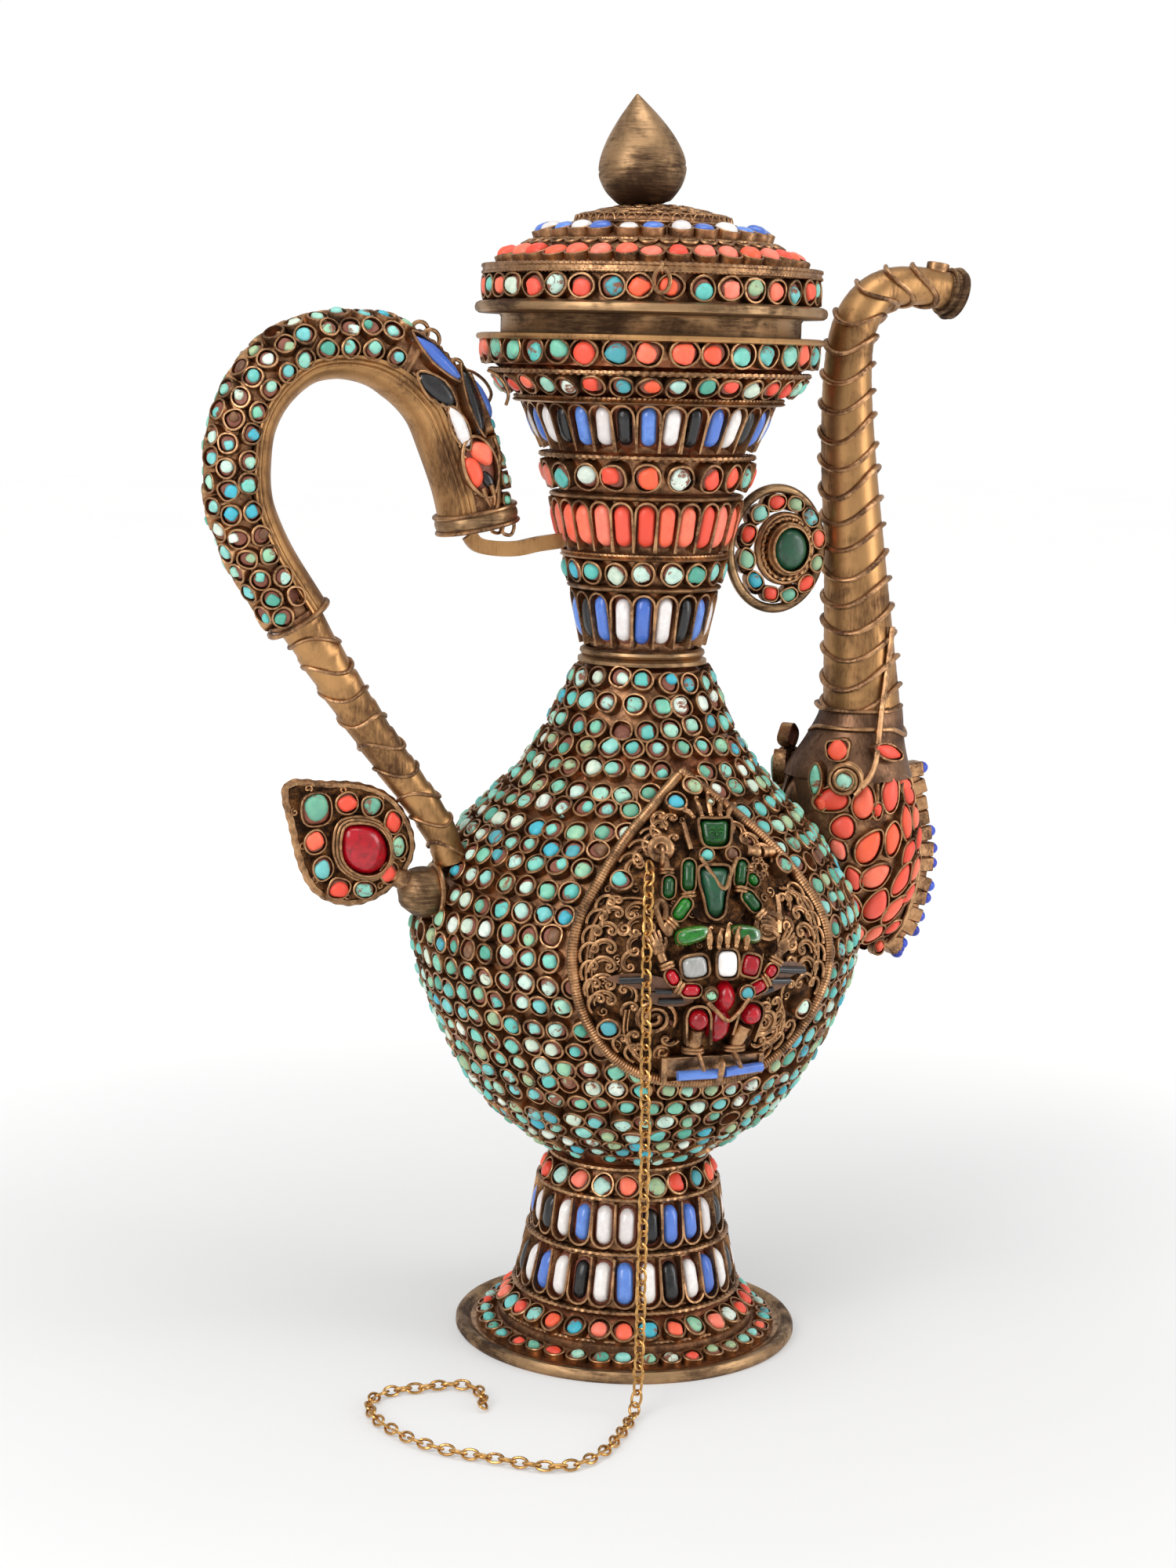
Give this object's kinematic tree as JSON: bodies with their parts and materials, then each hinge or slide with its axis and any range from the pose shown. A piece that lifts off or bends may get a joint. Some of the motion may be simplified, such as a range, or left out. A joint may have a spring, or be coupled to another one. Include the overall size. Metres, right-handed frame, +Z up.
{
  "type": "ewer",
  "caption": "Tall footed copper ewer with a lift-off lid, a curved handle and spout, set stones and a hanging chain.",
  "frame": {"origin": "middle of the underside of the foot plate, on the vessel's upright axis", "axes": "+Z up along the vessel's axis, +X towards the spout, -X towards the handle, the medallion faces about -Y"},
  "size_m": [0.2956, 0.205, 0.4507],
  "materials": {
    "brass": "satin, aged",
    "copper": "satin, aged copper sheet",
    "turquoise": "semi-gloss opaque stone",
    "coral": "semi-gloss opaque stone",
    "enamel": "gloss, blue, white and black rods",
    "red_glass": "gloss",
    "green_glass": "gloss",
    "lapis": "semi-gloss opaque stone",
    "chain": "polished links"
  },
  "bodies": {
    "ewer": {"foot_plate": "brass", "foot_ledge_1": "brass", "foot_ledge_2": "brass", "foot_ledge_3": "brass", "foot_ledge_4": "brass", "neck_collar": "brass", "mouth_flange": "brass", "neck_ledge_1": "brass", "neck_ledge_2": "brass", "neck_ledge_3": "brass", "neck_ledge_4": "brass", "neck_ledge_5": "brass", "neck_ledge_6": "brass", "handle_grip": "brass", "handle_sleeve": "brass", "crook_casing": "brass", "handle_bracket": "brass", "leaf_setting": "brass", "spout_tube": "brass", "spout_funnel": "brass", "spout_scroll_front": "brass", "spout_scroll_back": "brass", "medallion_ground": "brass", "medallion_frame": "brass", "foot_cone": "copper", "vessel_lower": "copper", "vessel_upper": "copper", "neck_shell": "copper", "vessel_turquoise": "turquoise", "foot_hem_beads": "turquoise", "crook_turquoise": "turquoise", "foot_row_round_hem": "coral", "foot_row_round_top": "coral", "mouth_row_round": "coral", "neck_row_turquoise": "coral", "neck_row_round_mixed": "coral", "neck_row_under_mouth": "coral", "spout_bulb": "coral", "rosette": "coral", "foot_row_rods_upper": "enamel", "foot_row_rods_lower": "enamel", "neck_row_rods_bottom": "enamel", "neck_row_coral_rods": "enamel", "neck_row_rods_flared": "enamel", "dragon_head": "enamel", "leaf_stone": "red_glass", "figure_lower_and_plinth": "red_glass", "rosette_stone": "green_glass", "figure_upper": "green_glass", "spout_crest": "lapis", "chain": "chain"},
    "lid": {"lid_flange": "brass", "lid_dome": "copper", "lid_row_drum": "coral", "lid_wire_and_staple": "brass", "lid_row_coral": "coral", "lid_row_glass": "enamel", "lid_scroll_cap": "brass", "finial": "brass"},
    "lid_ring": {"lid_loop": "brass"}
  },
  "joints": [
    {"name": "lid_lift", "type": "slide", "parent": "ewer", "child": "lid", "axis": [0, 0, 1], "range_m": [0, 0.08]},
    {"name": "lid_ring_swing", "type": "hinge", "parent": "lid", "child": "lid_ring", "pos_m": [-0.02293, -0.05674, 0.3891], "axis": [-0.9272, 0.3746, 0], "range_deg": [0, 100]}
  ]
}
